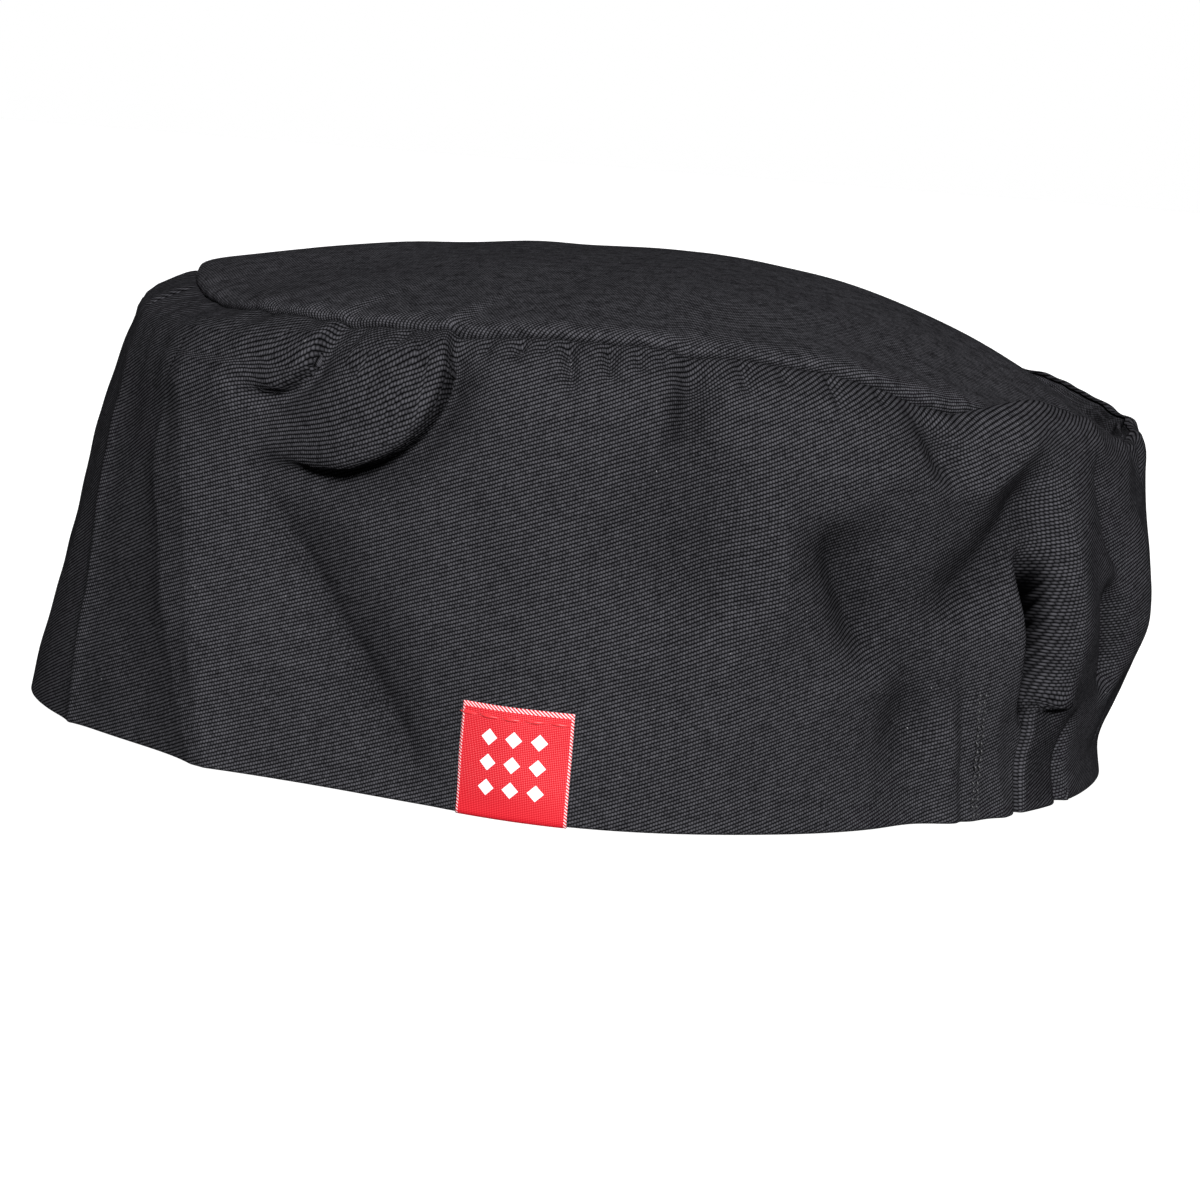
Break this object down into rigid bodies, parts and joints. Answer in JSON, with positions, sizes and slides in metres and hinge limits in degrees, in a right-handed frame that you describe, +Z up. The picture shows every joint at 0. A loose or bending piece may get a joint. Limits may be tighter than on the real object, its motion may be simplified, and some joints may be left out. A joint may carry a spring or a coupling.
{
  "type": "chef skull cap",
  "caption": "Soft black twill chef's skull cap with a gathered side band, a domed top panel, an elastic casing at the back of the hem and a small red label folded round the hem.",
  "frame": {"origin": "under the middle of the outline, on the surface that the hem rests on", "axes": "-X is the front, +X the back, -Y the wearer's left side with the label, +Z up"},
  "size_m": [0.206, 0.1752, 0.0903],
  "materials": {
    "black_twill": "matt black polyester and cotton twill with a fine diagonal line",
    "black_twill_top": "the same twill, seen smoother and flatter on top",
    "black_elastic": "ribbed black twill strip gathered on elastic",
    "red_satin": "woven red satin label with white flecked edges"
  },
  "bodies": {
    "root": {"side_band": "black_twill", "top_panel": "black_twill_top", "elastic_casing": "black_elastic", "label": "red_satin"}
  },
  "joints": []
}
